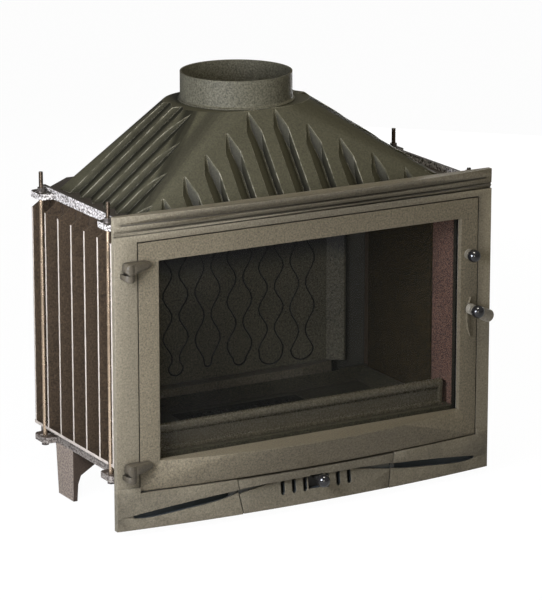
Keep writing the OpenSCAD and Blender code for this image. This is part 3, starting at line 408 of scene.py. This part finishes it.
INNER = cast_finish("inner_iron", (0.026, 0.0235, 0.015), rough=0.5, specular=0.15, speckle=0.4, mottle=0.14,
                    reach=0.08, corner_shade=0.85, shut=(0.25, 0.7))
BACK = cast_finish("fireback_iron", (0.096, 0.087, 0.059), rough=0.5, speckle=0.42, mottle=0.2, edge=0.7,
                   edge_tint=tint(0.13, 0.125, 0.11), extra=scored_waves)
HEARTH = cast_finish("hearth_iron", (0.045, 0.04, 0.024), rough=0.45, speckle=0.7, mottle=0.14, edge=0.3)
FOOT = cast_finish("foot_iron", (0.115, 0.1, 0.07), rough=0.5, speckle=0.35, mottle=0.14, edge=0.5)
BAR = cast_finish("log_bar_iron", (0.07, 0.06, 0.038), rough=0.27, specular=0.6, speckle=0.16, edge=0.4,
                  corner_shade=0.45)
BACK_WALL = cast_finish("back_wall_iron", (0.026, 0.0235, 0.015), rough=0.55, specular=0.2, mottle=0.14,
                        reach=0.03, extra=cast_outside)
# The grate is painted near black: painted shade over its slot ends.
GRATE = cast_finish("grate_iron", (0.011, 0.01, 0.007), specular=0.1, edge=0.1)
LINING = lining_finish("lining_iron")
STEEL = steel_finish("dark_steel", (0.16, 0.14, 0.125), rough=0.4)
ROD = steel_finish("rod_steel", (0.66, 0.5, 0.34), rough=0.26, metal=0.9, dark_from=ROD_BLACK_FROM)
SLIDE = steel_finish("slide_steel", (0.018, 0.017, 0.014), rough=0.6, metal=0.2)
SHEET = steel_finish("sheet_steel", (0.07, 0.066, 0.06), rough=0.42, metal=0.8)
KNOB = knob_finish("knob_black")
PULL = knob_finish("pull_black", PULL_NECK)
LATCH_BALL = knob_finish("latch_black", LATCH_NECK)
GLASS = glass_finish("glass_clear")
ROPE = rope_finish("seal_rope")

FINISH = {
    "base_casting": BASE, "leg_left": LEG, "leg_right": LEG, "leg_front_left": LEG, "leg_front_right": LEG,
    "side_left": SIDE, "side_right": SIDE, "back_wall": BACK_WALL, "front_frame": INNER, "top_plate": RIM,
    "hood": HOOD, "flue_collar": COLLAR, "tie_rods": ROD, "tie_rod_nuts": STEEL, "tie_rod_washers": STEEL,
    "facade": FACADE, "facade_bolts": STEEL, "hinge_brackets": HINGE, "fireback": BACK,
    "fireback_foot": FOOT, "lining_left": LINING, "lining_right": LINING, "baffle": INNER, "hearth": HEARTH,
    "ash_grate": GRATE, "log_retainer": BAR, "ash_housing": SHEET, "door_frame": DOOR, "door_glass": GLASS,
    "glass_gasket": ROPE, "glass_clips": SHEET, "clip_screws": STEEL, "door_seal": ROPE,
    "hinge_leaves": HINGE, "pull_knob": PULL, "latch_handle": LEVER, "latch_knob": LATCH_BALL,
    "latch_cam": SHEET,
    "ash_drawer_front": FACADE, "ash_pan": SHEET, "air_slide": SLIDE, "air_knob": KNOB,
}

for name, paint in FINISH.items():
    materials = NODES[name].data.materials
    materials.clear()
    materials.append(paint)


def object_from(bm, name, paint):
    """A new object with the shape of a bmesh, which is used up."""
    mesh = bpy.data.meshes.new(name)
    bm.to_mesh(mesh)
    bm.free()
    mesh.materials.append(paint)
    made = bpy.data.objects.new(name, mesh)
    bpy.context.scene.collection.objects.link(made)
    return made


def eased_edges(node, body, width):
    """Stands in for a node: the same casting, with its sharp corners eased as in the mould."""
    bm = bmesh.new()
    bm.from_mesh(NODES[node].data)
    bmesh.ops.remove_doubles(bm, verts=bm.verts, dist=0.00001)
    bmesh.ops.dissolve_limit(bm, angle_limit=math.radians(0.3), verts=bm.verts, edges=bm.edges)
    made = object_from(bm, node + "_cast", FINISH[node])
    for face in made.data.polygons:
        face.use_smooth = True
    made.data.set_sharp_from_angle(angle=math.radians(40))
    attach(made, body)
    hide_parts(node)
    bevel = made.modifiers.new("eased", "BEVEL")
    bevel.width = width
    bevel.segments = 2
    bevel.limit_method = "ANGLE"
    bevel.angle_limit = math.radians(28)
    bevel.use_clamp_overlap = True
    bevel.harden_normals = True


eased_edges("facade", "stove", 0.0014)
eased_edges("door_frame", "door", 0.0014)
eased_edges("ash_drawer_front", "ash_drawer", 0.001)
eased_edges("hinge_leaves", "door", 0.0016)
eased_edges("hinge_brackets", "stove", 0.0016)
eased_edges("latch_handle", "latch", 0.0016)


def white_where_seen(wire, share):
    """share for rays from the camera and through glass, less in mirrors, and 0 for light on the insert."""
    rays = wire.tree.nodes.new("ShaderNodeLightPath")
    seen, mirrored, through = [Wire(wire.tree, rays.outputs[name]) for name in
                               ("Is Camera Ray", "Is Glossy Ray", "Is Transmission Ray")]
    return wire.math("ADD", seen + mirrored * 0.12, through, clamp=True) * share


def studio_floor():
    """A floor that the camera sees as white, while only its grey paint throws light back on the insert."""
    paint, shader, where = start_finish("studio_floor")
    noise(where, 2.0).mix(grey(0.42), grey(0.47)).feed(shader, "Base Color")
    shader.inputs["Roughness"].default_value = 0.9
    shader.inputs["Specular IOR Level"].default_value = 0.1
    lit = Wire(where.tree, shader.outputs[0])
    glow = where.node("ShaderNodeEmission", {}, {"Color": grey(1.0), "Strength": 1.06})
    both = where.node("ShaderNodeMixShader", {}, {0: white_where_seen(where, 0.92), 1: lit, 2: glow})
    both.feed(where.tree.nodes["Material Output"], "Surface")
    bm = bmesh.new()
    bmesh.ops.create_grid(bm, x_segments=1, y_segments=1, size=12)
    object_from(bm, "studio_floor", paint)


def studio_air(light):
    """White air that the camera sees at full strength. On the insert it has only the given strength."""
    world = bpy.data.worlds.new("studio")
    bpy.context.scene.world = world
    world.use_nodes = True
    back = world.node_tree.nodes["Background"]
    back.inputs["Color"].default_value = grey(1.0)
    (white_where_seen(Wire(world.node_tree), 1.0 - light) + light).feed(back, "Strength")


def aimed(made, place, toward):
    """Puts a lamp or camera at a place and turns it. Its lens looks along toward."""
    made.location = place
    made.rotation_euler = toward.to_track_quat("-Z", "Y").to_euler()
    bpy.context.scene.collection.objects.link(made)


def lamp(name, place, aim, watts, size, colour=(1, 1, 1)):
    light = bpy.data.lights.new(name, "AREA")
    light.energy = watts
    light.shape = "RECTANGLE"
    light.size, light.size_y = size
    light.color = colour
    aimed(bpy.data.objects.new(name, light), place, Vector(aim) - Vector(place))


def camera(target, turn, rise, far, focal_pixels, picture_pixels):
    """A camera that looks at the target from far metres away, turned and raised by angles in degrees."""
    lens = bpy.data.cameras.new("camera")
    lens.sensor_fit = "AUTO"
    lens.sensor_width = 36
    lens.lens = focal_pixels * lens.sensor_width / picture_pixels
    lens.clip_end = 60
    turn, rise = math.radians(turn), math.radians(rise)
    away = Vector((math.sin(turn) * math.cos(rise), -math.cos(turn) * math.cos(rise), math.sin(rise)))
    made = bpy.data.objects.new("camera", lens)
    aimed(made, Vector(target) + away * far, -away)
    bpy.context.scene.camera = made


COOL = (1, 1.04, 1.17)
WARM = (1, 0.95, 0.84)
studio_floor()
studio_air(light=0.05)
lamp("key_left", (-1.03, -0.6, 0.68), (-0.15, -0.1, 0.32), watts=21.5, size=(0.6, 0.6), colour=COOL)
lamp("top", (0.1, -0.6, 2.0), (0.05, 0, 0.4), watts=14, size=(0.5, 0.5), colour=WARM)
lamp("front", (-1.0, -2.6, 0.9), (0, 0, 0.3), watts=12, size=(0.8, 0.8), colour=WARM)
lamp("back_right", (1.9, 2.0, 0.3), (0.1, 0.1, 0.3), watts=24, size=(1.2, 0.8))
camera(target=(0.0275, 0.0, 0.3064), turn=-29.62, rise=15.08, far=5.809,
       focal_pixels=3494, picture_pixels=600)
bpy.context.scene.view_settings.view_transform = "Standard"
